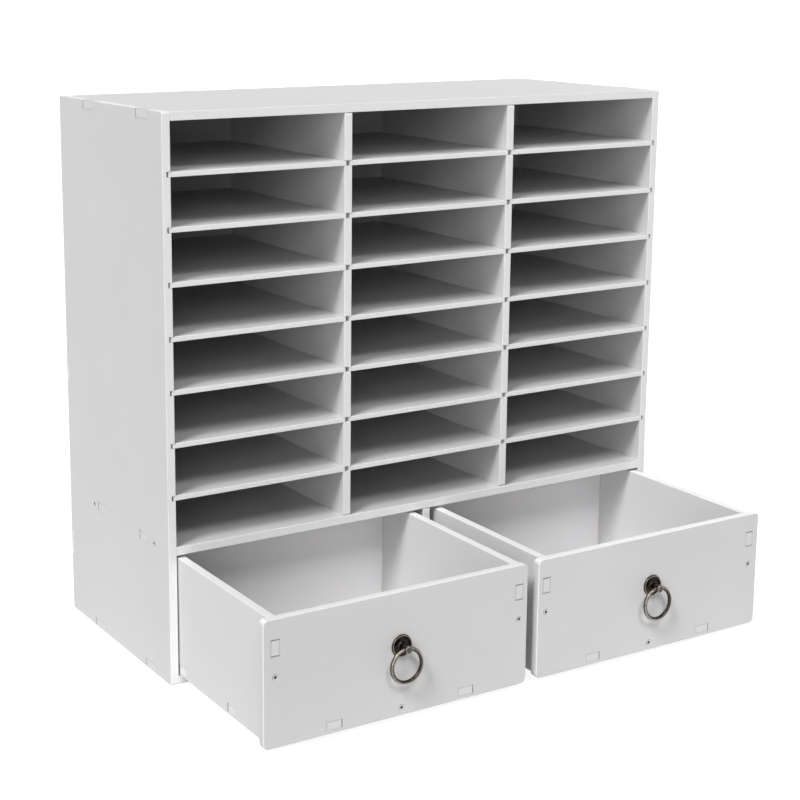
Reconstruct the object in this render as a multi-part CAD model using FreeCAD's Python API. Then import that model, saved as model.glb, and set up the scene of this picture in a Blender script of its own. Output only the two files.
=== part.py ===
import FreeCAD, Part
import os

Vector = FreeCAD.Vector

# Pigeonhole mail sorter: a cabinet of flat boards with loose shelves above and two drawers below.
# Millimetres. The origin is the centre of the cabinet's footprint, X to the right, Y to the back, Z up.

# Driving dimensions of the cabinet
column_count = 3
row_count = 8
column_width = 218.0  # clear width of a pigeonhole, for A4 and letter sheets
row_height = 54.0  # clear height of a pigeonhole
cabinet_depth = 282.0
bay_height = 143.0  # clear height of the drawer bay
board = 10.0  # sides, top, middle, bottom, dividers and drawer boards
thin_board = 6.0  # shelves and back panel
drawer_bottom_board = 9.0
arris = 0.6  # small round on every long edge of a board
board_corner = 2.5  # round on the corners of the sides and dividers

# Shelf housings
shelf_tongue = 2.6  # how far a shelf end reaches into a side or a divider
side_groove_depth = 5.0
housing_web = 26.0  # divider left whole between its slots and the back panel
shelf_recess = 0.6  # shelf edge behind the front edge of the dividers
shelf_clearance = 0.15

# Tabs that pass through the neighbouring board
panel_tab_length = 30.0  # top and bottom panels
panel_tab_front = 50.0  # tab centre behind the front edge
panel_tab_rear = 86.0  # tab centre ahead of the rear edge
middle_tab_length = 22.0
middle_tab_front = 65.0
middle_tab_rear = 98.0
back_tabs = ((88.0, 32.0), (308.0, 20.0))  # height of the centre, and length
tab_clearance = 0.15  # beside a tab's faces
tab_end_clearance = 0.35  # beyond a tab's ends
tab_recess = 0.2  # tab end below the outer surface
tab_root = 5.0  # how deep a tab's solid starts inside the board that carries it
overrun = 1.0  # how far a cutter passes the surface that it opens

# Countersunk cross-head screws
screw_head_radius = 3.6
screw_shank_radius = 1.7
screw_length = 32.0
screw_point = 4.0
screw_tip_radius = 0.2
screw_clearance = 0.1
recess_width = 1.0
recess_span = 4.2
recess_depth = 1.8
middle_screw_front = 38.0
middle_screw_rear = 75.0

# Drawers
drawer_side_clearance = 2.0
drawer_partition_clearance = 9.5
drawer_running_clearance = 0.3
drawer_rear_gap = 6.0  # between a closed drawer and the back panel
drawer_top_gap = 3.5  # under the middle panel
front_drop = 1.5  # front's lower edge below the box
front_outer_overlap = 9.0  # front beyond the box, at the cabinet side
front_inner_overlap = 6.5  # front beyond the box, at the partition
front_corner = 6.0
front_arris = 1.0
bottom_lift = 3.0  # drawer bottom above the lower edge of the box
side_tab_length = 17.5
side_tab_height = 108.0  # tab centre above the lower edge of the box
side_screw_height = 76.5
bottom_tab_length = 19.0
bottom_tab_spacing = 169.0  # between the two tabs through the front, and through the back
bottom_side_tab_inset = 76.0  # tab centre from either end of the box
left_drawer_open = 201.0  # how far the drawers stand out of the cabinet
right_drawer_open = 200.0

# Ring pulls
pull_height = 80.0  # eye above the front's lower edge
eye_offset = 11.0  # eye in front of the drawer front
eye_clearance = 0.3
eye_wall = 1.5  # head left above and below the eye
eye_head_radius = 4.3
eye_head_round = 1.0
stem_radius = 2.5
stud_radius = 2.0
stud_projection = 2.3  # beyond the nut
plate_radius = 12.8
plate_thickness = 1.4
plate_rim_height = 2.6
plate_rim_width = 2.0
plate_boss_radius = 5.6
plate_boss_height = 3.4
plate_bevel = 0.6
ring_radius = 18.8  # to the middle of the wire
ring_wire_radius = 2.2
nut_width = 7.0
nut_height = 3.2
bore_clearance = 0.1

# Worked out from the driving dimensions
cabinet_width = column_count * column_width + (column_count + 1) * board
middle_floor = board + bay_height  # underside of the middle panel
columns_floor = middle_floor + board
columns_height = row_count * row_height + (row_count - 1) * thin_board
columns_top = columns_floor + columns_height
cabinet_height = columns_top + board
left_face = -cabinet_width / 2
right_face = cabinet_width / 2
front_face = -cabinet_depth / 2
rear_face = cabinet_depth / 2
back_panel_face = rear_face - thin_board
housing_length = back_panel_face - housing_web - front_face  # grooves and slots, from the front edge
bay_width = (cabinet_width - 3 * board) / 2
drawer_width = bay_width - drawer_side_clearance - drawer_partition_clearance
drawer_length = back_panel_face - drawer_rear_gap - front_face  # box behind the front
drawer_floor = board + drawer_running_clearance
drawer_top = middle_floor - drawer_top_gap
front_floor = drawer_floor - front_drop
drawer_bottom_floor = drawer_floor + bottom_lift
drawer_bottom_top = drawer_bottom_floor + drawer_bottom_board
pull_offset = (front_outer_overlap - front_inner_overlap) / 2
eye_height = front_floor + pull_height
eye_curve = eye_head_radius ** 2 / (2 * ring_radius)  # bend of the wire inside the head
eye_radius = ring_wire_radius + eye_curve + eye_clearance
eye_head_length = 2 * (eye_radius + eye_wall)
stud_length = board + nut_height + stud_projection

os.makedirs("parts", exist_ok=True)


def save(name, shape):
    shape.exportStep("parts/" + name + ".step")


def block(x, y, z):
    """A box from three (low, high) pairs."""
    low = Vector(min(x), min(y), min(z))
    size = (max(x) - min(x), max(y) - min(y), max(z) - min(z))
    return Part.makeBox(*size, low)


def around(centre, length, extra=0.0):
    return (centre - length / 2 - extra, centre + length / 2 + extra)


def softened(shape, radius):
    return shape.makeFillet(radius, shape.Edges)


def edges_along(shape, axis):
    """The straight edges that run along one axis, 0 for X, 1 for Y and 2 for Z."""
    found = []
    for edge in shape.Edges:
        run = edge.Vertexes[1].Point - edge.Vertexes[0].Point
        if abs(abs(run[axis]) - run.Length) < 0.001:
            found.append(edge)
    return found


def rounded_board(x, y, z, axis, corner, edge_radius):
    """A board with round corners in its own plane, whose thickness runs along the axis."""
    plain = block(x, y, z)
    shape = plain.makeFillet(corner, edges_along(plain, axis))
    return softened(shape, edge_radius)


def plain_board(x, y, z):
    return softened(block(x, y, z), arris)


def joined(shape, additions):
    return shape.fuse(additions).removeSplitter() if additions else shape


def carved(shape, cutters):
    return shape.cut(cutters) if cutters else shape


def turned(shape, direction):
    """Turns a shape built along +Z to point along the direction."""
    moved = shape.copy()
    moved.Placement = FreeCAD.Placement(Vector(), FreeCAD.Rotation(Vector(0, 0, 1), direction))
    return moved


def screw(head, outward):
    """A countersunk screw whose flat head lies at a point and faces outward."""
    cone = Part.makeCone(screw_shank_radius, screw_head_radius, screw_head_radius - screw_shank_radius,
                         Vector(0, 0, screw_shank_radius - screw_head_radius))
    shank = Part.makeCylinder(screw_shank_radius, screw_length - screw_point,
                              Vector(0, 0, screw_point - screw_length))
    point = Part.makeCone(screw_tip_radius, screw_shank_radius, screw_point, Vector(0, 0, -screw_length))
    depth = (-recess_depth, overrun)
    slots = [block(around(0, recess_span), around(0, recess_width), depth),
             block(around(0, recess_width), around(0, recess_span), depth)]
    shape = turned(cone.fuse([shank, point]).removeSplitter().cut(slots), outward)
    shape.translate(head)
    return shape


def screw_hole(head, outward):
    cone = Part.makeCone(screw_shank_radius + screw_clearance, screw_head_radius + screw_clearance,
                         screw_head_radius - screw_shank_radius,
                         Vector(0, 0, screw_shank_radius - screw_head_radius))
    shank = Part.makeCylinder(screw_shank_radius + screw_clearance, screw_length + screw_clearance,
                              Vector(0, 0, -screw_length - screw_clearance))
    shape = turned(cone.fuse(shank), outward)
    shape.translate(head)
    return shape


# ---- cabinet ----

def shelf_floor(row):
    """Underside of a shelf; row 1 lies under the top pigeonhole."""
    return columns_top - row * (row_height + thin_board)


def column_left(column):
    """Left edge of the clear width of a column, counted from 0."""
    return left_face + board + column * (column_width + board)


def end_tabs(z, length, front_inset, rear_inset, extra_end=0.0, extra_face=0.0, recess=0.0):
    """Tabs, or their cutters, through both sides at two places along the depth."""
    shapes = []
    for centre in (front_face + front_inset, rear_face - rear_inset):
        y = around(centre, length, extra_end)
        height = (z[0] - extra_face, z[1] + extra_face)
        shapes.append(block((left_face + recess, left_face + board + tab_root), y, height))
        shapes.append(block((right_face - board - tab_root, right_face - recess), y, height))
    return shapes


def back_tab_shapes(extra_end=0.0, extra_face=0.0, recess=0.0):
    shapes = []
    for centre, length in back_tabs:
        z = around(centre, length, extra_end)
        y = (back_panel_face - extra_face, rear_face + extra_face)
        shapes.append(block((left_face + recess, left_face + board + tab_root), y, z))
        shapes.append(block((right_face - board - tab_root, right_face - recess), y, z))
    return shapes


def middle_screw_places():
    """Head position and outward direction of each screw through the sides."""
    places = []
    height = middle_floor + board / 2
    for y in (front_face + middle_screw_front, rear_face - middle_screw_rear):
        places.append((Vector(left_face, y, height), Vector(-1, 0, 0)))
        places.append((Vector(right_face, y, height), Vector(1, 0, 0)))
    return places


def housing_cutters(x):
    """One cutter for each shelf level, over a stretch of X, from the front edge backwards."""
    y = (front_face - overrun, front_face + housing_length)
    cutters = []
    for row in range(1, row_count):
        floor = shelf_floor(row)
        cutters.append(block(x, y, (floor - shelf_clearance, floor + thin_board + shelf_clearance)))
    return cutters


def side_panel(outer, inner, groove_end):
    shape = rounded_board((outer, inner), (front_face, rear_face), (0, cabinet_height), 0,
                          board_corner, arris)
    top = (cabinet_height - board, cabinet_height + overrun)
    bottom = (-overrun, board)
    middle = (middle_floor, middle_floor + board)
    cutters = end_tabs(top, panel_tab_length, panel_tab_front, panel_tab_rear,
                       tab_end_clearance, tab_clearance, -overrun)
    cutters += end_tabs(bottom, panel_tab_length, panel_tab_front, panel_tab_rear,
                        tab_end_clearance, tab_clearance, -overrun)
    cutters += end_tabs(middle, middle_tab_length, middle_tab_front, middle_tab_rear,
                        tab_end_clearance, tab_clearance, -overrun)
    cutters += back_tab_shapes(tab_end_clearance, tab_clearance, -overrun)
    cutters += housing_cutters((inner, groove_end))
    cutters += [screw_hole(head, outward) for head, outward in middle_screw_places()]
    return carved(shape, cutters)


def tabbed_panel(z, length, front_inset, rear_inset):
    """A level panel between the sides, with two tabs at each end."""
    shape = plain_board((left_face + board, right_face - board), (front_face, back_panel_face), z)
    return joined(shape, end_tabs(z, length, front_inset, rear_inset, recess=tab_recess))


def middle_panel():
    z = (middle_floor, middle_floor + board)
    shape = tabbed_panel(z, middle_tab_length, middle_tab_front, middle_tab_rear)
    return carved(shape, [screw_hole(head, outward) for head, outward in middle_screw_places()])


def back_panel():
    shape = plain_board((left_face + board, right_face - board), (back_panel_face, rear_face),
                        (0, cabinet_height))
    return joined(shape, back_tab_shapes(recess=tab_recess))


def column_divider(column):
    """The divider to the right of a column, slotted through from the front for the shelves."""
    left = column_left(column) + column_width
    shape = rounded_board((left, left + board), (front_face, back_panel_face),
                          (columns_floor, columns_top), 0, board_corner, arris)
    return carved(shape, housing_cutters((left - overrun, left + board + overrun)))


def shelf(column, row):
    left = column_left(column)
    right = left + column_width
    z = (shelf_floor(row), shelf_floor(row) + thin_board)
    start = front_face + shelf_recess
    stop = front_face + housing_length - shelf_clearance
    wide = block((left - shelf_tongue, right + shelf_tongue), (start, stop), z)
    narrow = block((left + shelf_clearance, right - shelf_clearance),
                   (start, back_panel_face - shelf_clearance), z)
    shape = wide.fuse(narrow).removeSplitter()
    front_edges = [edge for edge in edges_along(shape, 0) if abs(edge.CenterOfMass.y - start) < 0.001]
    return shape.makeFillet(arris, front_edges)


def drawer_bay_partition():
    return rounded_board(around(0, board), (front_face, back_panel_face), (board, middle_floor), 0,
                         board_corner, arris)


def make_cabinet():
    inner = left_face + board
    save("left_side_panel", side_panel(left_face, inner, inner - side_groove_depth))
    inner = right_face - board
    save("right_side_panel", side_panel(right_face, inner, inner + side_groove_depth))
    for name, z in (("top_panel", (columns_top, cabinet_height)), ("bottom_panel", (0, board))):
        save(name, tabbed_panel(z, panel_tab_length, panel_tab_front, panel_tab_rear))
    save("middle_panel", middle_panel())
    save("back_panel", back_panel())
    save("drawer_bay_partition", drawer_bay_partition())
    for column in range(column_count - 1):
        save("column_divider_%d" % (column + 1), column_divider(column))
    for column in range(column_count):
        for row in range(1, row_count):
            save("shelf_column%d_row%d" % (column + 1, row), shelf(column, row))
    screws = [screw(head, outward) for head, outward in middle_screw_places()]
    save("cabinet_screws", Part.makeCompound(screws))


# ---- drawers, each built round its own centre line with its front board's back face at Y = 0 ----

def side_range(sign):
    """X range of a drawer side; sign is -1 for the left side and 1 for the right."""
    outer = sign * drawer_width / 2
    return (outer, outer - sign * board)


def side_tab_z(extra=0.0):
    return around(drawer_floor + side_tab_height, side_tab_length, extra)


def front_screw_places():
    places = []
    for sign in (-1, 1):
        x = sign * (drawer_width - board) / 2
        places.append((Vector(x, -board, drawer_floor + side_screw_height), Vector(0, -1, 0)))
    height = drawer_bottom_floor + drawer_bottom_board / 2
    places.append((Vector(0, -board, height), Vector(0, -1, 0)))
    return places


def bottom_tab_x():
    return (-bottom_tab_spacing / 2, bottom_tab_spacing / 2)


def bottom_slot_z():
    """Height range of the slots that the tabs of the drawer bottom pass through."""
    return (drawer_bottom_floor - tab_clearance, drawer_bottom_top + tab_clearance)


def drawer_front(hand):
    outer = hand * (drawer_width / 2 + front_outer_overlap)
    inner = -hand * (drawer_width / 2 + front_inner_overlap)
    shape = rounded_board((outer, inner), (-board, 0), (front_floor, drawer_top), 1,
                          front_corner, front_arris)
    through = (-board - overrun, overrun)
    cutters = []
    for sign in (-1, 1):
        x = side_range(sign)
        cutters.append(block((min(x) - tab_clearance, max(x) + tab_clearance), through,
                             side_tab_z(tab_end_clearance)))
    for x in bottom_tab_x():
        cutters.append(block(around(x, bottom_tab_length, tab_end_clearance), through, bottom_slot_z()))
    cutters += [screw_hole(head, outward) for head, outward in front_screw_places()]
    stud_hole = Part.makeCylinder(stud_radius + bore_clearance, board + 2 * overrun,
                                  Vector(hand * pull_offset, overrun, eye_height), Vector(0, -1, 0))
    return carved(shape, cutters + [stud_hole])


def drawer_side(sign):
    x = side_range(sign)
    shape = plain_board(x, (0, drawer_length), (drawer_floor, drawer_top))
    tab = block(x, (-board + tab_recess, tab_root), side_tab_z())
    cutters = []
    through = (min(x) - overrun, max(x) + overrun)
    for centre in (bottom_side_tab_inset, drawer_length - bottom_side_tab_inset):
        y = around(centre, bottom_tab_length, tab_end_clearance)
        cutters.append(block(through, y, bottom_slot_z()))
    rear = (drawer_length - board - tab_clearance, drawer_length + overrun)
    cutters.append(block(through, rear, side_tab_z(tab_end_clearance)))
    cutters += [screw_hole(head, outward) for head, outward in front_screw_places()]
    return carved(joined(shape, [tab]), cutters)


def drawer_back():
    inner = drawer_width / 2 - board
    y = (drawer_length - board, drawer_length)
    shape = plain_board((-inner, inner), y, (drawer_floor, drawer_top))
    tabs = []
    for sign in (-1, 1):
        tabs.append(block((sign * (inner - tab_root), sign * (drawer_width / 2 - tab_recess)),
                          y, side_tab_z()))
    through = (y[0] - overrun, y[1] + overrun)
    cutters = []
    for x in bottom_tab_x():
        cutters.append(block(around(x, bottom_tab_length, tab_end_clearance), through, bottom_slot_z()))
    return carved(joined(shape, tabs), cutters)


def drawer_bottom():
    inner = drawer_width / 2 - board
    z = (drawer_bottom_floor, drawer_bottom_top)
    rear = drawer_length - board
    shape = plain_board((-inner, inner), (0, rear), z)
    tabs = []
    for x in bottom_tab_x():
        width = around(x, bottom_tab_length)
        tabs.append(block(width, (-board + tab_recess, tab_root), z))
        tabs.append(block(width, (rear - tab_root, drawer_length - tab_recess), z))
    for centre in (bottom_side_tab_inset, drawer_length - bottom_side_tab_inset):
        y = around(centre, bottom_tab_length)
        for sign in (-1, 1):
            x = (sign * (inner - tab_root), sign * (drawer_width / 2 - tab_recess))
            tabs.append(block(x, y, z))
    cutters = [screw_hole(head, outward) for head, outward in front_screw_places()]
    return carved(joined(shape, tabs), cutters)


def turned_profile(points, centre):
    """A solid turned about the line through a point that runs out of the drawer front."""
    wire = Part.makePolygon([Vector(r, 0, h) for r, h in points + points[:1]])
    solid = Part.Face(wire).revolve(Vector(), Vector(0, 0, 1), 360)
    shape = turned(solid, Vector(0, -1, 0))
    shape.translate(centre)
    return shape


def pull_backplate(centre):
    """A round plate with a raised rim and a low boss round the stem."""
    hole = stem_radius + bore_clearance
    rim = plate_radius - plate_rim_width
    points = [(hole, 0), (plate_radius, 0), (plate_radius, plate_rim_height - plate_bevel),
              (plate_radius - plate_bevel, plate_rim_height), (rim + plate_bevel, plate_rim_height),
              (rim, plate_thickness), (plate_boss_radius + plate_bevel, plate_thickness),
              (plate_boss_radius - plate_bevel, plate_boss_height), (hole, plate_boss_height)]
    return turned_profile(points, centre)


def pull_post(centre):
    """A stem with a round head, bored across for the ring, and a stud through the drawer front."""
    stem = Part.makeCylinder(stem_radius, eye_offset)
    stud = Part.makeCylinder(stud_radius, stud_length, Vector(0, 0, -stud_length))
    head = Part.makeCylinder(eye_head_radius, eye_head_length, Vector(0, 0, eye_offset - eye_head_length / 2))
    head = head.makeFillet(eye_head_round, head.Edges)
    shape = turned(stem.fuse([stud, head]).removeSplitter(), Vector(0, -1, 0))
    eye = Part.makeCylinder(eye_radius, 4 * eye_head_radius,
                            Vector(-2 * eye_head_radius, -eye_offset, 0), Vector(1, 0, 0))
    shape = shape.cut(eye)
    shape.translate(centre)
    return shape


def pull_nut(centre):
    """The hexagon nut on the stud, inside the drawer."""
    corners = []
    for index in range(7):
        corner = FreeCAD.Rotation(Vector(0, 1, 0), 60 * index).multVec(Vector(nut_width / 3 ** 0.5, 0, 0))
        corners.append(corner)
    shape = Part.Face(Part.makePolygon(corners)).extrude(Vector(0, nut_height, 0))
    shape = shape.cut(Part.makeCylinder(stud_radius + bore_clearance, nut_height, Vector(), Vector(0, 1, 0)))
    shape.translate(centre + Vector(0, board, 0))
    return shape


def pull_ring(centre):
    """The ring hangs with the middle of its wire on the centre of the eye."""
    hub = centre + Vector(0, -eye_offset, -ring_radius)
    return Part.makeTorus(ring_radius, ring_wire_radius, hub, Vector(0, 1, 0))


def make_drawer(label, hand, opening):
    """hand is -1 for the left drawer and 1 for the right one."""
    centre = board / 2 + drawer_partition_clearance + drawer_width / 2
    place = Vector(hand * centre, front_face - opening, 0)
    plate_centre = Vector(hand * pull_offset, -board, eye_height)
    screws = [screw(head, outward) for head, outward in front_screw_places()]
    pieces = {
        "front": drawer_front(hand),
        "left_side": drawer_side(-1),
        "right_side": drawer_side(1),
        "back": drawer_back(),
        "bottom": drawer_bottom(),
        "front_screws": Part.makeCompound(screws),
        "pull_backplate": pull_backplate(plate_centre),
        "pull_post": pull_post(plate_centre),
        "pull_nut": pull_nut(plate_centre),
        "pull_ring": pull_ring(plate_centre),
    }
    for name, shape in pieces.items():
        shape.translate(place)
        save("drawer_%s_%s" % (label, name), shape)


make_cabinet()
make_drawer("left", -1, left_drawer_open)
make_drawer("right", 1, right_drawer_open)
print("cabinet", cabinet_width, cabinet_depth, cabinet_height)
print("drawer box", drawer_width, drawer_length, drawer_top - drawer_floor)
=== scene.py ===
import math
import bmesh
import bpy
from mathutils import Matrix, Vector


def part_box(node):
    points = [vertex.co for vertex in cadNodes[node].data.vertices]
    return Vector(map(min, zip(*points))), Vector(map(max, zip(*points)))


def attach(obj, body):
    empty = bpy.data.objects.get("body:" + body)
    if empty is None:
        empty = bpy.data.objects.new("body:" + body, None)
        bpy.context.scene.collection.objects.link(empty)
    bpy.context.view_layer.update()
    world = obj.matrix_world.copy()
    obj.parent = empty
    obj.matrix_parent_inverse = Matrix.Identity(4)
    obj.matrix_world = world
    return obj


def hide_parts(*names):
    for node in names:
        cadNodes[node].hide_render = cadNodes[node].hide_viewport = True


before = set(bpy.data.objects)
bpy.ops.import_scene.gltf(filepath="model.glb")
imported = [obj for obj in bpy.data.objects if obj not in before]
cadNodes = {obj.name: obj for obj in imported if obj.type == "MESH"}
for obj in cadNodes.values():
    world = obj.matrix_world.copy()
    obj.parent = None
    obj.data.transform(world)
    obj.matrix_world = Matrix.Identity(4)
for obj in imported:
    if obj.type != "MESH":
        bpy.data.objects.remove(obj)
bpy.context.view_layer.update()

mm = 0.001
print("frame loaded:", len(cadNodes), "nodes")


def linear(shade):    # a written 0-255 shade as the linear value that renders as it
    value = shade / 255
    return value / 12.92 if value <= 0.04045 else ((value + 0.055) / 1.055) ** 2.4


def colour(red, green, blue, paintedLight=1.0):    # scales the light that the colour gives back; the boards use it to paint each kind lighter or darker for the light it gets, as painted light and shade
    return (linear(red) * paintedLight, linear(green) * paintedLight, linear(blue) * paintedLight, 1.0)


# shader helpers

def newTree(name):
    material = bpy.data.materials.new(name)
    material.use_nodes = True
    material.node_tree.nodes.clear()
    return material, material.node_tree


def node(tree, kind, inputs=None, **settings):    # an input is a value or another node's socket
    made = tree.nodes.new("ShaderNode" + kind)
    for key, value in settings.items():
        setattr(made, key, value)
    for key, value in (inputs or {}).items():
        if isinstance(value, bpy.types.NodeSocket):
            tree.links.new(value, made.inputs[key])
        else:
            made.inputs[key].default_value = value
    return made


def noise(tree, coords, size, detail=2.0):    # size is the width of one blotch in metres
    return node(tree, "TexNoise", {"Vector": coords, "Scale": 1 / size, "Detail": detail}).outputs["Fac"]


def mathNode(tree, operation, first, second, clamp=False):
    made = node(tree, "Math", {0: first, 1: second}, operation=operation, use_clamp=clamp)
    return made.outputs[0]


def remap(tree, value, low, high, newLow=0.0, newHigh=1.0):
    made = node(tree, "MapRange", {"Value": value, "From Min": low, "From Max": high,
                                   "To Min": newLow, "To Max": newHigh})
    return made.outputs["Result"]


def mixColour(tree, factor, first, second):
    made = node(tree, "Mix", {0: factor, 6: first, 7: second}, data_type="RGBA")
    return made.outputs[2]


def finishTree(tree, shader):
    output = node(tree, "OutputMaterial")
    tree.links.new(shader, output.inputs["Surface"])


# wood-plastic board: satin skin on the faces, paler and rougher where the saw went through; the sawn edges
# are partly painted highlight, lighter or darker by the way they face, the rounded arrises get a painted
# highlight and the joints a painted shade

boardValues = {
    "faceColour": (216, 215, 216),
    "faceShade": (212, 211, 212),
    "edgeColour": (244, 244, 244),
    "edgeShade": (235, 235, 236),
    "pitColour": (205, 205, 206),
    "tabColour": (219, 219, 219),
    "arrisColour": (250, 250, 250),
    "edgeFade": (0.8, 0.35),    # how square to the thickness a surface is where face turns to sawn edge
    "tabFade": (0.6, 0.95),
    "arrisFade": (0.0, 0.2),
    "cloudSize": 0.14,
    "cloudFade": (0.35, 0.65),
    "grainSize": 0.0011,
    "grainDetail": 4.0,
    "grainFade": (0.3, 0.62),
    "pitSize": 0.0009,
    "pitFade": (0.28, 0.1),
    "pitPatches": (0.5, 0.62),    # the pits lie only where the grain is above this
    "peelSize": 0.0016,
    "peelDepth": 0.00002,
    "sawScale": 62.5,
    "sawDistortion": 2.5,
    "sawDetail": 2.0,
    "sawDetailScale": 1.5,
    "sawDepth": 0.00007,
    "faceRoughness": 0.5,
    "edgeRoughness": 0.72,
    "roughnessSwing": 0.03,
    "specular": 0.3,
}


def facing(tree, normal, axis):    # 1 on surfaces square to the axis, 0 on those along it
    separated = node(tree, "SeparateXYZ", {"Vector": normal}).outputs["XYZ".index(axis)]
    return mathNode(tree, "ABSOLUTE", separated, 0.0)


# where one board's tab comes through another, a fine dark outline of painted shade stands for the shade in
# the joint's gap, darker on the sides that the light leaves in shade

jointValues = {
    "shade": (92, 91, 92),
    "squareness": 0.9,    # lines are drawn only on surfaces that face their axis at least this much
    "sideTab": {"height": 0.1183, "length": 0.0175},
    "bottomTab": {"spacing": 0.169, "length": 0.019, "inset": 0.076},
    "topTab": {"front": 0.05, "rear": 0.086, "length": 0.03},
    "middleTab": {"front": 0.065, "rear": 0.098, "length": 0.022},
    "backTabs": ((0.088, 0.032), (0.308, 0.02)),    # height of the middle, length
    # darkness of the painted shade lines: level for the lines at the tab's top and bottom, near and far for
    # its two sides
    "frontLines": {"level": 1.0, "near": 0.28, "far": 0.22, "width": 0.00085},
    "bottomLines": {"level": 0.25, "near": 0.25, "far": 1.0, "width": 0.0008},
    "sideLines": {"level": 0.15, "near": 0.1, "far": 0.9, "width": 0.0013},
}


def span(centre, length):
    return (centre - length / 2, centre + length / 2)


def drawerJoints(hand):    # each joint: face axis, range across, range in height, the darkness of its painted shade lines
    values = jointValues
    sideTab, bottomTab = values["sideTab"], values["bottomTab"]
    boxes = {piece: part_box("drawer_%s_%s" % (hand, piece))
             for piece in ("front", "left_side", "right_side", "back", "bottom")}
    sides = [[corner.x for corner in boxes[piece]] for piece in ("left_side", "right_side")]
    sideTabHeight = span(sideTab["height"], sideTab["length"])
    joints = [("Y", across, sideTabHeight, values["frontLines"]) for across in sides]
    bottomHeight = [corner.z for corner in boxes["bottom"]]
    middle = (sum(sides[0]) + sum(sides[1])) / 4
    for offset in (-bottomTab["spacing"] / 2, bottomTab["spacing"] / 2):
        across = span(middle + offset, bottomTab["length"])
        joints.append(("Y", across, bottomHeight, values["bottomLines"]))
    for along in (boxes["front"][1].y + bottomTab["inset"], boxes["back"][1].y - bottomTab["inset"]):
        joints.append(("X", span(along, bottomTab["length"]), bottomHeight, values["sideLines"]))
    joints.append(("X", [corner.y for corner in boxes["back"]], sideTabHeight, values["sideLines"]))
    return joints


def cabinetJoints():
    values = jointValues
    joints = []
    front, rear = [corner.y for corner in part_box("left_side_panel")]
    for board, tab in (("top", "topTab"), ("middle", "middleTab"), ("bottom", "topTab")):
        height = [corner.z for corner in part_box(board + "_panel")]
        for along in (front + values[tab]["front"], rear - values[tab]["rear"]):
            joints.append(("X", span(along, values[tab]["length"]), height, values["sideLines"]))
    depth = [corner.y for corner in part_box("back_panel")]
    for middle, length in values["backTabs"]:
        joints.append(("X", depth, span(middle, length), values["sideLines"]))
    return joints


def distance(tree, value, place):
    return mathNode(tree, "ABSOLUTE", mathNode(tree, "SUBTRACT", value, place), 0.0)


def paintedShadeLine(tree, away, width, darkness, along, reach):    # painted shade, dark where away is 0, as far as its reach
    within = mathNode(tree, "LESS_THAN", along, reach + width / 2)
    return mathNode(tree, "MULTIPLY", remap(tree, away, width / 2, width, darkness, 0), within)


def paintedJointShade(tree, coords, normal, joints):    # painted shade in the joints: 1 on the darkest lines, 0 away from them
    parts = node(tree, "SeparateXYZ", {"Vector": coords}).outputs
    result = 0.0
    for axis, across, upright, shadeLines in joints:
        sideways, width = parts["Y" if axis == "X" else "X"], shadeLines["width"]
        sideReach, upReach = (across[1] - across[0]) / 2, (upright[1] - upright[0]) / 2
        side = distance(tree, sideways, sum(across) / 2)
        height = distance(tree, parts["Z"], sum(upright) / 2)
        outline = paintedShadeLine(tree, distance(tree, height, upReach), width, shadeLines["level"], side, sideReach)
        for place, darkness in zip(across, (shadeLines["near"], shadeLines["far"])):
            line = paintedShadeLine(tree, distance(tree, sideways, place), width, darkness, height, upReach)
            outline = mathNode(tree, "MAXIMUM", outline, line)
        square = mathNode(tree, "GREATER_THAN", facing(tree, normal, axis), jointValues["squareness"])
        result = mathNode(tree, "MAXIMUM", result, mathNode(tree, "MULTIPLY", outline, square))
    return result


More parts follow.
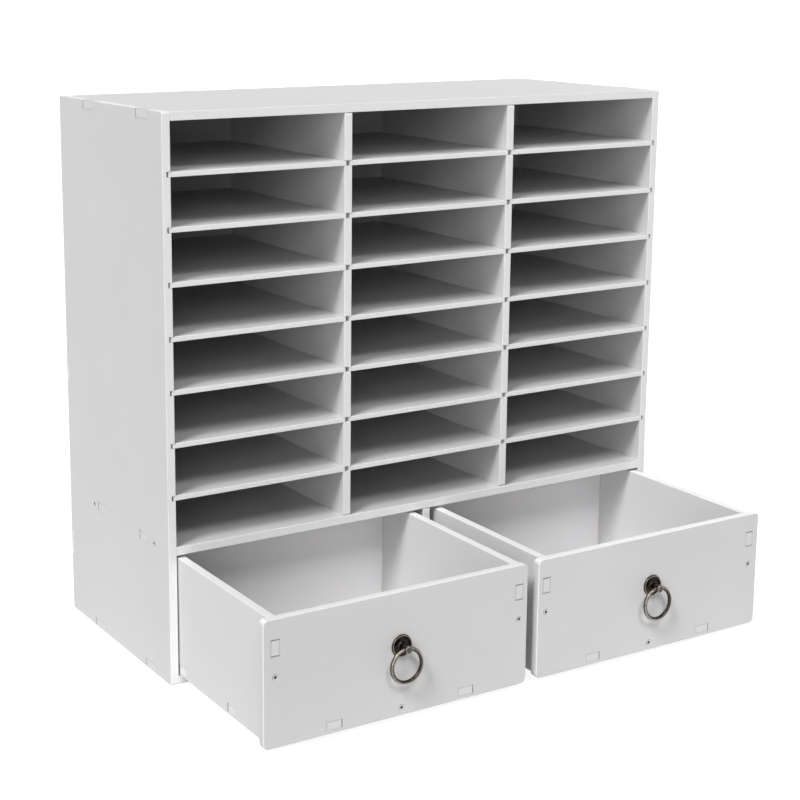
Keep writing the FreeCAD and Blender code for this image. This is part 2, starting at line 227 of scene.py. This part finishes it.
def boardMaterial(name, axis, tabAxes, facePaintedLight, tabPaintedLight, joints):    # axis: the board's thickness
    values = boardValues
    # the tints make lit and shaded copies of one board: painted light and shade
    paintedLightTints = {"faceColour": facePaintedLight, "faceShade": facePaintedLight, "tabColour": tabPaintedLight}
    shades = {key: colour(*values[key], paintedLightTints.get(key, 1.0))
              for key in values if key.endswith(("Colour", "Shade"))}
    material, tree = newTree(name)
    place = node(tree, "TexCoord").outputs
    coords, normal = place["Object"], place["Normal"]
    edge = remap(tree, facing(tree, normal, axis), *values["edgeFade"])
    clouds = remap(tree, noise(tree, coords, values["cloudSize"]), *values["cloudFade"])
    grain = noise(tree, coords, values["grainSize"], values["grainDetail"])
    face = mixColour(tree, clouds, shades["faceShade"], shades["faceColour"])
    cut = mixColour(tree, remap(tree, grain, *values["grainFade"]), shades["edgeShade"],
                    shades["edgeColour"])
    cells = node(tree, "TexVoronoi", {"Vector": coords, "Scale": 1 / values["pitSize"]})
    pits = remap(tree, cells.outputs["Distance"], *values["pitFade"])
    pits = mathNode(tree, "MULTIPLY", pits, remap(tree, grain, *values["pitPatches"]))
    cut = mixColour(tree, pits, cut, shades["pitColour"])
    # sawn ends facing a tab axis take the darker tab colour and the other sawn edges stay paler: partly the
    # cut core's own colour, partly painted light by the way each edge faces the lamps
    for tabAxis in tabAxes:
        tabEnd = remap(tree, facing(tree, normal, tabAxis), *values["tabFade"])
        cut = mixColour(tree, tabEnd, cut, shades["tabColour"])
    # painted highlight: a paler line along the rounded arris where each face turns to a sawn edge
    arrisHighlight = mathNode(tree, "MULTIPLY", edge, mathNode(tree, "SUBTRACT", 1.0, edge))
    base = mixColour(tree, edge, face, cut)
    base = mixColour(tree, remap(tree, arrisHighlight, *values["arrisFade"]), base, shades["arrisColour"])
    # painted shade in the gaps of the joints
    if joints:
        shadeLines = paintedJointShade(tree, coords, normal, joints)
        base = mixColour(tree, shadeLines, base, colour(*jointValues["shade"]))
    roughness = remap(tree, edge, 0, 1, values["faceRoughness"], values["edgeRoughness"])
    swing = remap(tree, clouds, 0, 1, -values["roughnessSwing"], values["roughnessSwing"])
    roughness = mathNode(tree, "ADD", roughness, swing)
    peel = noise(tree, coords, values["peelSize"])
    skin = node(tree, "Bump", {"Height": peel, "Distance": values["peelDepth"], "Strength": 1.0})
    saw = node(tree, "TexWave", {"Vector": coords, "Scale": values["sawScale"],
                                 "Distortion": values["sawDistortion"], "Detail": values["sawDetail"],
                                 "Detail Scale": values["sawDetailScale"]}, bands_direction="DIAGONAL")
    relief = mathNode(tree, "MULTIPLY", mathNode(tree, "ADD", saw.outputs["Fac"], grain), edge)
    cutBump = node(tree, "Bump", {"Height": relief, "Distance": values["sawDepth"], "Strength": 1.0,
                                  "Normal": skin.outputs["Normal"]})
    shader = node(tree, "BsdfPrincipled", {"Base Color": base, "Roughness": roughness,
                                           "Normal": cutBump.outputs["Normal"],
                                           "Specular IOR Level": values["specular"]})
    finishTree(tree, shader.outputs["BSDF"])
    return material


boardKinds = {    # thickness axis, tab axes, and the tints of the faces and of the tab ends, which paint each kind lighter or darker for the light it gets: painted light and shade
    "outerSide": ("X", "", 0.96, 1.0),
    "upright": ("X", "", 0.97, 1.0),
    "level": ("Z", "X", 0.91, 0.97),
    "top": ("Z", "X", 0.98, 0.98),
    "cabinetBack": ("Y", "X", 0.87, 1.2),
    "drawerFront": ("Y", "X", 1.06, 0.95),
    "drawerSide": ("X", "Y", 1.02, 1.06),
    "drawerBack": ("Y", "X", 1.25, 1.08),
    "drawerBottom": ("Z", "XY", 1.08, 1.08),
}
boards = {"left_side_panel": "outerSide", "right_side_panel": "outerSide", "column_divider_1": "upright",
          "column_divider_2": "upright", "drawer_bay_partition": "upright", "back_panel": "cabinetBack",
          "top_panel": "top", "middle_panel": "level", "bottom_panel": "level"}
for hand in ("left", "right"):
    for piece, kind in (("front", "drawerFront"), ("left_side", "drawerSide"), ("right_side", "drawerSide"),
                        ("back", "drawerBack"), ("bottom", "drawerBottom")):
        boards["drawer_%s_%s" % (hand, piece)] = kind
for name in cadNodes:
    if name.startswith("shelf_"):
        boards[name] = "level"
joined = {"": [], "cabinet": cabinetJoints(), "left": drawerJoints("left"), "right": drawerJoints("right")}
boardSkins = {}


def dress(name, material):    # gives a node of the frame its finish
    if not cadNodes[name].material_slots:
        cadNodes[name].data.materials.append(material)
    for slot in cadNodes[name].material_slots:
        slot.material = material


for name, kind in boards.items():
    group = "cabinet" if name.endswith("_panel") else ""
    if kind.startswith("drawer"):
        group = name.split("_")[1]
    if (kind, group) not in boardSkins:
        skinName = kind + group.capitalize() + "Board"
        boardSkins[kind, group] = boardMaterial(skinName, *boardKinds[kind], joined[group])
    dress(name, boardSkins[kind, group])
print("boards dressed:", len(boards))


# metals

bronzeValues = {
    "patina": (0.016, 0.014, 0.013, 1.0),
    "bronze": (0.155, 0.13, 0.106, 1.0),
    "rubbedAndHighlight": (0.6, 0.555, 0.485, 1.0),
    "bronzeFade": (0.0, 0.6),    # the wear over which the patina gives way to bronze
    "rubbedAndHighlightFade": (0.6, 1.0),
    "spotSize": 0.0028,
    "spotDetail": 3.0,
    "spotFade": (0.3, 0.7),
    "spotWear": 0.12,
    "grainSize": 0.0007,
    "castDepth": 0.00005,
    "roughness": (0.24, 0.4),
}


def bronzeMaterial(name):    # the attribute is 0 in the hollows and 1 where fingers rub; its low values inside the ring and its high values on the backplate's rim and the ring's crest also paint shade and highlight
    values = bronzeValues
    material, tree = newTree(name)
    coords = node(tree, "TexCoord").outputs["Object"]
    wearAndLight = node(tree, "Attribute", attribute_name="wearAndLight").outputs["Fac"]
    spots = noise(tree, coords, values["spotSize"], values["spotDetail"])
    grain = noise(tree, coords, values["grainSize"])
    swing = remap(tree, spots, *values["spotFade"], -values["spotWear"], values["spotWear"])
    wearAndLightLevel = mathNode(tree, "ADD", wearAndLight, swing, clamp=True)
    base = mixColour(tree, remap(tree, wearAndLightLevel, *values["bronzeFade"]), values["patina"], values["bronze"])
    # rubbed bronze, which on the backplate's rim and the ring's crest is also a painted highlight
    base = mixColour(tree, remap(tree, wearAndLightLevel, *values["rubbedAndHighlightFade"]), base, values["rubbedAndHighlight"])
    roughness = remap(tree, spots, *values["spotFade"], *values["roughness"])
    bump = node(tree, "Bump", {"Height": grain, "Distance": values["castDepth"], "Strength": 1.0})
    shader = node(tree, "BsdfPrincipled", {"Base Color": base, "Roughness": roughness, "Metallic": 1.0,
                                           "Normal": bump.outputs["Normal"]})
    finishTree(tree, shader.outputs["BSDF"])
    return material


steelValues = {
    "bright": (0.82, 0.82, 0.81, 1.0),
    "dull": (0.68, 0.68, 0.67, 1.0),
    "hollowShade": (0.03, 0.03, 0.03, 1.0),
    "spotSize": 0.0016,
    "spotDetail": 3.0,
    "dullFade": (0.35, 0.65),
    "roughnessFade": (0.3, 0.7),
    "roughness": (0.27, 0.42),
}


def steelMaterial(name):    # the attribute is 0 in the hollows, painted dark as their shade, and 1 on the bright faces
    values = steelValues
    material, tree = newTree(name)
    coords = node(tree, "TexCoord").outputs["Object"]
    wearAndLight = node(tree, "Attribute", attribute_name="wearAndLight").outputs["Fac"]
    spots = noise(tree, coords, values["spotSize"], values["spotDetail"])
    base = mixColour(tree, remap(tree, spots, *values["dullFade"]), values["dull"], values["bright"])
    # painted shade in the hollows of the steel
    base = mixColour(tree, wearAndLight, values["hollowShade"], base)
    roughness = remap(tree, spots, *values["roughnessFade"], *values["roughness"])
    shader = node(tree, "BsdfPrincipled", {"Base Color": base, "Roughness": roughness, "Metallic": 1.0})
    finishTree(tree, shader.outputs["BSDF"])
    return material


bronze = bronzeMaterial("antiqueBronze")
steel = steelMaterial("platedSteel")


# shapes turned or cut for the fittings, built along +Z in millimetres

outOfFront = Matrix.Rotation(math.radians(90), 4, "X")    # turns +Z to point out of a drawer front
mergeDistance = 0.0005


def around(radius, height, steps):    # steps: (out, up, wear) from one corner of a profile
    return [(radius + out, height + up, wearAndLightLevel) for out, up, wearAndLightLevel in steps]


def turned(profile, steps, closed=False):    # profile: (radius, height, wear) from one end to the other
    bm = bmesh.new()
    wearAndLight = bm.verts.layers.float.new("wearAndLight")
    made = []
    for radius, height, wearAndLightLevel in profile:
        corner = bm.verts.new((radius, 0, height))
        corner[wearAndLight] = wearAndLightLevel
        made.append(corner)
    ends = made[1:] + made[:1] if closed else made[1:]
    edges = [bm.edges.new(pair) for pair in zip(made, ends)]
    bmesh.ops.spin(bm, geom=made + edges, cent=(0, 0, 0), axis=(0, 0, 1), angle=math.tau, steps=steps,
                   use_merge=True)
    bmesh.ops.remove_doubles(bm, verts=bm.verts, dist=mergeDistance)
    bmesh.ops.recalc_face_normals(bm, faces=bm.faces)
    return bm


def sceneObject(name, data):
    made = bpy.data.objects.new(name, data)
    bpy.context.scene.collection.objects.link(made)
    return made


def meshObject(name, bm):
    mesh = bpy.data.meshes.new(name)
    bm.to_mesh(mesh)
    bm.free()
    return sceneObject(name, mesh)


def middleOf(low, high, y):    # the middle of a box seen from the front, at depth y
    return Vector(((low.x + high.x) / 2, y, (low.z + high.z) / 2))


def setInPlace(made, centre, turn):    # from millimetres about its own axis to metres in the frame
    made.data.transform(Matrix.Translation(centre) @ turn @ Matrix.Scale(mm, 4))


def applyModifiers(made):
    bpy.context.view_layer.update()
    evaluated = made.evaluated_get(bpy.context.evaluated_depsgraph_get())
    mesh = bpy.data.meshes.new_from_object(evaluated)
    made.modifiers.clear()
    made.data = mesh
    mesh.name = made.name


def cutBy(made, cutter, operation="DIFFERENCE"):
    step = made.modifiers.new("cut", "BOOLEAN")
    step.operation = operation
    step.solver = "EXACT"
    step.object = cutter
    applyModifiers(made)
    bpy.data.objects.remove(cutter)


def finish(made, material, body, replaced, sharpAngle):
    made.data.materials.clear()
    made.data.materials.append(material)
    made.data.polygons.foreach_set("use_smooth", [True] * len(made.data.polygons))
    made.data.set_sharp_from_angle(angle=math.radians(sharpAngle))
    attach(made, body)
    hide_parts(replaced)


# ring pulls

plateValues = {
    "hole": 2.55,
    "bossTop": 3.4,
    "bossRadius": 5.2,
    "dish": 1.25,
    "rimRadius": 11.7,
    "rimHeight": 2.6,
    "edgeSteps": ((-0.3, 0, 0.05), (0, 0.3, 0.1), (0, 1.3, 0.2)),    # from the outer edge of the back
    "rimSteps": ((0.6, -0.3, 0.12), (0, 0, 0.85), (-0.7, -0.5, 0.05)),    # from the rim's crest, whose high value paints both rubbed bronze and a highlight
    "dishSteps": ((-1.6, 0.35, 0), (-3.2, 0, 0)),    # from the rim, on the floor of the dish
    "footSteps": ((1.6, 0, 0), (0.7, 0.25, 0), (0, 1.1, 0)),    # from the boss, on the floor of the dish
    "bossSteps": ((-0.7, -0.3, 0), (-1.5, 0, 0)),    # from the boss, at its top
    "steps": 40,
    "levels": 2,
    "sharpAngle": 60,
}


def makePlate(hand):
    values = plateValues
    name = "drawer_%s_pull_backplate" % hand
    low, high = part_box(name)
    outer = (high.x - low.x) / 2 / mm
    hole, top, dish = values["hole"], values["bossTop"], values["dish"]
    boss, rim = values["bossRadius"], values["rimRadius"]
    profile = [(hole, 0, 0)] + around(outer, 0, values["edgeSteps"])
    profile += around(rim, values["rimHeight"], values["rimSteps"]) + around(rim, dish, values["dishSteps"])
    profile += around(boss, dish, values["footSteps"]) + around(boss, top, values["bossSteps"])
    profile += [(hole, top, 0)]
    made = meshObject("pull_backplate_" + hand, turned(profile, values["steps"], closed=True))
    setInPlace(made, middleOf(low, high, high.y), outOfFront)
    smoother = made.modifiers.new("smooth", "SUBSURF")
    smoother.levels = smoother.render_levels = values["levels"]
    applyModifiers(made)
    finish(made, bronze, "drawer_" + hand, name, values["sharpAngle"])


# thread roots darker: patina on the bronze stud, painted shade on the steel screws
threadWearAndShade = {"crest": 0.5, "root": 0.2}


def threadProfile(start, stop, radius, pitch, depth):    # crests and roots, with their heights
    count = int(abs(stop - start) / pitch)
    step = (stop - start) / count
    profile = []
    for index in range(count):
        profile.append((radius, start + step * index, threadWearAndShade["crest"]))
        profile.append((radius - depth, start + step * (index + 0.5), threadWearAndShade["root"]))
    return profile


postValues = {
    "stud": 2.0,
    "studChamfer": 0.4,
    "studWear": 0.4,
    "threadStart": 0.3,
    "threadLength": 7.0,
    "threadPitch": 0.7,
    "threadDepth": 0.3,
    "plainWear": 0.3,
    "plainGap": 0.01,    # between the stud's plain end and the stem
    "stem": 2.5,
    "footWear": 0.05,
    "neckSteps": ((0, -1.6, 0.18), (0.25, -0.9, 0.2), (0.9, 0, 0.2)),    # from the stem, behind the head
    "head": 4.3,
    "headBack": 6.5,
    "shoulderSteps": ((-0.45, 0.15, 0.45), (0, 0.6, 0.5)),    # from the back of the head
    "grooveSteps": ((0, -1.5, 0.3), (-0.22, -1.3, 0.05), (0, -1.1, 0.4)),    # from the front of the head
    "rimSteps": ((0, -0.55, 0.5), (-0.2, -0.2, 0.7), (-0.6, 0, 0.7)),
    "faceSteps": ((-1.1, -0.1, 0.5), (-1.35, -0.3, 0.2), (-2.2, -0.2, 0.3)),
    "faceDepth": 0.05,
    "faceWear": 0.34,
    "eyeHeight": 11.0,
    "eye": 2.99,
    "eyeChamfer": 0.5,
    "eyeFlare": (1.1, 0.2),    # how far under the head's skin the chamfer starts and ends
    "eyeWear": 0.2,
    "cutterMargin": 1.0,
    "steps": 56,
    "sharpAngle": 35,
}


def makePost(hand):
    values = postValues
    name = "drawer_%s_pull_post" % hand
    low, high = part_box(name)
    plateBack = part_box("drawer_%s_pull_backplate" % hand)[1].y
    front, back = (plateBack - low.y) / mm, (plateBack - high.y) / mm
    stem, head, stud, headBack = [values[key] for key in ("stem", "head", "stud", "headBack")]
    threadEnd = back + values["threadLength"]
    profile = [(0, back, values["studWear"]), (stud - values["studChamfer"], back, values["studWear"])]
    profile += threadProfile(back + values["threadStart"], threadEnd, stud, values["threadPitch"],
                             values["threadDepth"])
    profile += [(stud, threadEnd, values["plainWear"]), (stud, -values["plainGap"], values["plainWear"])]
    profile += [(stem, 0, values["footWear"])] + around(stem, headBack, values["neckSteps"])
    profile += around(head, headBack, values["shoulderSteps"])
    for steps in ("grooveSteps", "rimSteps", "faceSteps"):
        profile += around(head, front, values[steps])
    profile += [(0, front - values["faceDepth"], values["faceWear"])]
    made = meshObject("pull_post_" + hand, turned(profile, values["steps"]))
    eye, flare, margin = values["eye"], values["eye"] + values["eyeChamfer"], values["cutterMargin"]
    start, end = values["eyeFlare"]
    half = [(eye, head - start), (flare, head - end), (flare + margin, head + margin), (0, head + margin)]
    cutProfile = [(radius, -height, values["eyeWear"]) for radius, height in reversed(half)]
    cutProfile += [(radius, height, values["eyeWear"]) for radius, height in half]
    bore = turned(cutProfile, values["steps"])
    across = Matrix.Translation((0, 0, values["eyeHeight"])) @ Matrix.Rotation(math.radians(90), 4, "Y")
    bmesh.ops.transform(bore, matrix=across, verts=bore.verts)
    cutBy(made, meshObject("eyeCutter", bore))
    setInPlace(made, middleOf(low, high, plateBack), outOfFront)
    finish(made, bronze, "drawer_" + hand, name, values["sharpAngle"])


ringValues = {
    "wireSteps": 28,
    "steps": 120,
    "innerPatinaAndShade": 0.08,
    "crestRubAndHighlight": 0.75,
    "outerWearAndLight": 0.36,
    "crestTurn": 62.0,    # how far the rubbed streak, also a painted highlight, lies round the wire, from outward to the front
    "crestPower": 10,
    "sharpAngle": 60,
}


def makeRing(hand):
    values = ringValues
    name = "drawer_%s_pull_ring" % hand
    low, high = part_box(name)
    wire = (high.y - low.y) / 2 / mm
    middle = (high.x - low.x) / 2 / mm - wire
    bm = bmesh.new()
    wearAndLight = bm.verts.layers.float.new("wearAndLight")
    upright = Matrix.Translation((middle, 0, 0)) @ Matrix.Rotation(math.radians(90), 4, "X")
    bmesh.ops.create_circle(bm, segments=values["wireSteps"], radius=wire, matrix=upright)
    bmesh.ops.spin(bm, geom=bm.verts[:] + bm.edges[:], cent=(0, 0, 0), axis=(0, 0, 1), angle=math.tau,
                   steps=values["steps"], use_merge=True)
    bmesh.ops.recalc_face_normals(bm, faces=bm.faces)
    crest = math.radians(values["crestTurn"])
    # the wire is dark on its inner side as patina and painted shade, and bright along the crest as rubbed
    # bronze and a painted highlight streak
    for corner in bm.verts:
        outward, forward = (corner.co.xy.length - middle) / wire, corner.co.z / wire
        crestShare = max(0, outward * math.cos(crest) + forward * math.sin(crest)) ** values["crestPower"]
        body = values["innerPatinaAndShade"] + (values["outerWearAndLight"] - values["innerPatinaAndShade"]) * (outward + 1) / 2
        corner[wearAndLight] = body + (values["crestRubAndHighlight"] - body) * crestShare
    made = meshObject("pull_ring_" + hand, bm)
    setInPlace(made, (low + high) / 2, outOfFront)
    finish(made, bronze, "ring_" + hand, name, values["sharpAngle"])


nutValues = {
    "across": 7.0,
    "height": 3.2,
    "bore": 2.05,
    "boreSteps": ((0, -0.3, 0.5), (0.5, 0.2, 0.8), (0.5, 1, 0.8)),    # from the bore, at the outer face
    "boreShade": 0.3,
    "cornerFall": 0.9,    # how far the rounding runs down each corner
    "cornerIn": 0.99,    # and in across the face
    "roundingMargin": 0.5,
    "drillMargin": 1.0,
    "steps": 48,
    "sharpAngle": 25,
}


def makeNut(hand):
    values = nutValues
    name = "drawer_%s_pull_nut" % hand
    low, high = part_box(name)
    corner, height = values["across"] / math.sqrt(3), values["height"]
    bm = bmesh.new()
    wearAndLight = bm.verts.layers.float.new("wearAndLight")
    bmesh.ops.create_circle(bm, segments=6, radius=corner, cap_ends=True)
    walls = bmesh.ops.extrude_face_region(bm, geom=bm.faces[:])
    raised = [item for item in walls["geom"] if isinstance(item, bmesh.types.BMVert)]
    bmesh.ops.translate(bm, verts=raised, vec=(0, 0, height))
    for point in bm.verts:
        point[wearAndLight] = 1.0
    bmesh.ops.recalc_face_normals(bm, faces=bm.faces)
    bmesh.ops.rotate(bm, verts=bm.verts, cent=(0, 0, 0), matrix=Matrix.Rotation(math.radians(90), 3, "Z"))
    made = meshObject("pull_nut_" + hand, bm)
    margin, wide = values["roundingMargin"], corner + values["roundingMargin"]
    rounding = [(0, -margin, 1), (wide, -margin, 1), (wide, height - values["cornerFall"], 1),
                (corner - values["cornerIn"], height, 1), (0, height, 1)]
    cutBy(made, meshObject("roundingCutter", turned(rounding, values["steps"])), "INTERSECT")
    # the bore gets a low value: painted shade in the hollow
    bore, margin = values["bore"], values["drillMargin"]
    drill = [(0, -margin, values["boreShade"]), (bore, -margin, values["boreShade"])]
    drill += around(bore, height, values["boreSteps"])
    drill.append((0, *drill[-1][1:]))    # straight in to the axis
    cutBy(made, meshObject("boreCutter", turned(drill, values["steps"])))
    setInPlace(made, middleOf(low, high, low.y), Matrix.Rotation(math.radians(-90), 4, "X"))
    finish(made, steel, "drawer_" + hand, name, values["sharpAngle"])


# countersunk cross-head screws

screwValues = {
    "head": 3.6,
    "rimSteps": ((-0.7, 0, 1), (-0.5, -0.03, 0.1), (0, -0.12, 0), (0, -0.2, 0)),    # from the head's edge; the low values paint a dark ring of shade round the head's edge
    "shank": 1.7,
    "shankWear": 0.8,
    "length": 32.0,
    "point": 4.0,
    "pointInset": 0.2,
    "threadStart": 9.0,
    "threadPitch": 1.3,
    "threadDepth": 0.45,
    "recessSpan": 4.2,
    "recessWidth": 1.3,
    "recessDepth": 1.8,
    "recessTaper": 0.5,
    "steps": 40,
    "sharpAngle": 30,
    "firstTurn": 17,    # how each screw's recess came to rest, in degrees
    "nextTurn": 41,
}


def crossCutter(turn):    # one wing of the recess, narrower at the bottom
    values = screwValues
    bm = bmesh.new()
    bm.verts.layers.float.new("wearAndLight")    # stays 0, so the recess is painted dark as its shade
    size = (values["recessSpan"], values["recessWidth"], 2 * values["recessDepth"])
    bmesh.ops.create_cube(bm, size=1)
    bmesh.ops.scale(bm, verts=bm.verts, vec=size)
    bottom = [corner for corner in bm.verts if corner.co.z < 0]
    bmesh.ops.scale(bm, verts=bottom, vec=(values["recessTaper"], values["recessTaper"], 1))
    bmesh.ops.rotate(bm, verts=bm.verts, cent=(0, 0, 0), matrix=Matrix.Rotation(math.radians(turn), 3, "Z"))
    return meshObject("crossCutter", bm)


def makeScrew():    # its head faces +Z, flush with Z = 0
    values = screwValues
    head, shank, length = values["head"], values["shank"], values["length"]
    shankWear, pointStart = values["shankWear"], values["point"] - length
    coneTop = values["rimSteps"][-1][1]
    profile = [(0, 0, 1)] + around(head, 0, values["rimSteps"])
    profile += [(shank, shank - head + coneTop, shankWear)]
    profile += threadProfile(-values["threadStart"], pointStart, shank, values["threadPitch"],
                             values["threadDepth"])
    profile += [(shank - values["pointInset"], pointStart, shankWear), (0, -length, shankWear)]
    made = meshObject("screw", turned(profile, values["steps"]))
    for turn in (0, 90):
        cutBy(made, crossCutter(turn))
    made.data.transform(Matrix.Scale(mm, 4))
    return made


def screwGroup(name, pattern, places, body):    # places: (head's middle, turn of +Z to point outward)
    values = screwValues
    bm = bmesh.new()
    for index, (centre, turn) in enumerate(places):
        spin = Matrix.Rotation(math.radians(values["firstTurn"] + values["nextTurn"] * index), 4, "Z")
        copy = pattern.data.copy()
        copy.transform(Matrix.Translation(centre) @ turn @ spin)
        bm.from_mesh(copy)
        bpy.data.meshes.remove(copy)
    finish(meshObject(name + "_detailed", bm), steel, body, name, values["sharpAngle"])


def makeScrews():
    pattern = makeScrew()
    head = screwValues["head"] * mm
    low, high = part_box("cabinet_screws")
    height = (low.z + high.z) / 2
    outwards = [(low.x, Matrix.Rotation(math.radians(-90), 4, "Y")),
                (high.x, Matrix.Rotation(math.radians(90), 4, "Y"))]
    places = [(Vector((x, y, height)), turn) for y in (low.y + head, high.y - head) for x, turn in outwards]
    screwGroup("cabinet_screws", pattern, places, "cabinet")
    for hand in ("left", "right"):
        name = "drawer_%s_front_screws" % hand
        low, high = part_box(name)
        places = [(Vector((low.x + head, low.y, high.z - head)), outOfFront),
                  (Vector((high.x - head, low.y, high.z - head)), outOfFront),
                  (Vector(((low.x + high.x) / 2, low.y, low.z + head)), outOfFront)]
        screwGroup(name, pattern, places, "drawer_" + hand)
    bpy.data.objects.remove(pattern)


for hand in ("left", "right"):
    makePlate(hand)
    makePost(hand)
    makeRing(hand)
    makeNut(hand)
makeScrews()
print("pulls and screws made")


# studio: pale floor, white surroundings, soft lamps at the left, in front and behind

studio = {
    "skyLevel": 0.0,
    "floorColour": (0.62, 0.62, 0.62, 1.0),
    "floorGlow": 0.85,
    "floorSize": 60.0,
    "floorDrop": 0.0003,    # keeps the floor clear of the cabinet's underside
    "keyLamp": {"turn": -66.0, "height": 48.0, "power": 2.5, "spread": 18.0},
    "frontLamp": {"turn": -12.0, "height": 50.0, "power": 1.0, "spread": 16.0},
    "fillLamp": {"turn": -42.0, "height": 6.0, "power": 0.8, "spread": 36.0},
    "rearLamp": {"turn": 125.0, "height": 8.0, "power": 1.4, "spread": 16.0},
}


def seenDirectly(tree):    # 1 for what the camera, metal or glass sees, 0 for light on the object
    path = node(tree, "LightPath").outputs
    seen = mathNode(tree, "MAXIMUM", path["Is Camera Ray"], path["Is Glossy Ray"])
    return mathNode(tree, "MAXIMUM", seen, path["Is Transmission Ray"])


def buildSky():
    world = bpy.data.worlds.new("studioSky")
    bpy.context.scene.world = world
    world.use_nodes = True
    tree = world.node_tree
    tree.nodes.clear()
    strength = remap(tree, seenDirectly(tree), 0, 1, studio["skyLevel"], 1.0)
    shader = node(tree, "Background", {"Color": (1, 1, 1, 1), "Strength": strength})
    output = node(tree, "OutputWorld")
    tree.links.new(shader.outputs["Background"], output.inputs["Surface"])


def buildFloor():
    bm = bmesh.new()
    bmesh.ops.create_grid(bm, x_segments=1, y_segments=1, size=studio["floorSize"] / 2)
    bmesh.ops.translate(bm, verts=bm.verts, vec=(0, 0, -studio["floorDrop"]))
    floor = meshObject("floor", bm)
    material, tree = newTree("paleFloor")
    matte = node(tree, "BsdfDiffuse", {"Color": studio["floorColour"]})
    strength = remap(tree, seenDirectly(tree), 0, 1, 0, studio["floorGlow"])
    glow = node(tree, "Emission", {"Color": (1, 1, 1, 1), "Strength": strength})
    both = node(tree, "AddShader", {0: matte.outputs["BSDF"], 1: glow.outputs["Emission"]})
    finishTree(tree, both.outputs[0])
    floor.data.materials.append(material)


def addLamp(name, values):
    light = bpy.data.lights.new(name, "SUN")
    light.energy = values["power"]
    light.angle = math.radians(values["spread"])
    lamp = sceneObject(name, light)
    lamp.rotation_euler = (math.radians(90 - values["height"]), 0, math.radians(values["turn"]))


cameraValues = {
    "place": (-1.1092, -1.7429, 0.7878),
    "tilt": 78.61,
    "roll": -0.03,
    "turn": -30.59,
    "lens": 75.11,
    "shift": (0.11, -0.11),
}


def buildCamera():
    data = bpy.data.cameras.new("camera")
    data.lens = cameraValues["lens"]
    data.shift_x, data.shift_y = cameraValues["shift"]
    camera = sceneObject("camera", data)
    camera.location = cameraValues["place"]
    camera.rotation_euler = [math.radians(cameraValues[key]) for key in ("tilt", "roll", "turn")]
    bpy.context.scene.camera = camera


buildSky()
buildFloor()
for name in ("keyLamp", "frontLamp", "fillLamp", "rearLamp"):
    addLamp(name, studio[name])
buildCamera()
bpy.context.scene.view_settings.view_transform = "Standard"
print("studio ready")
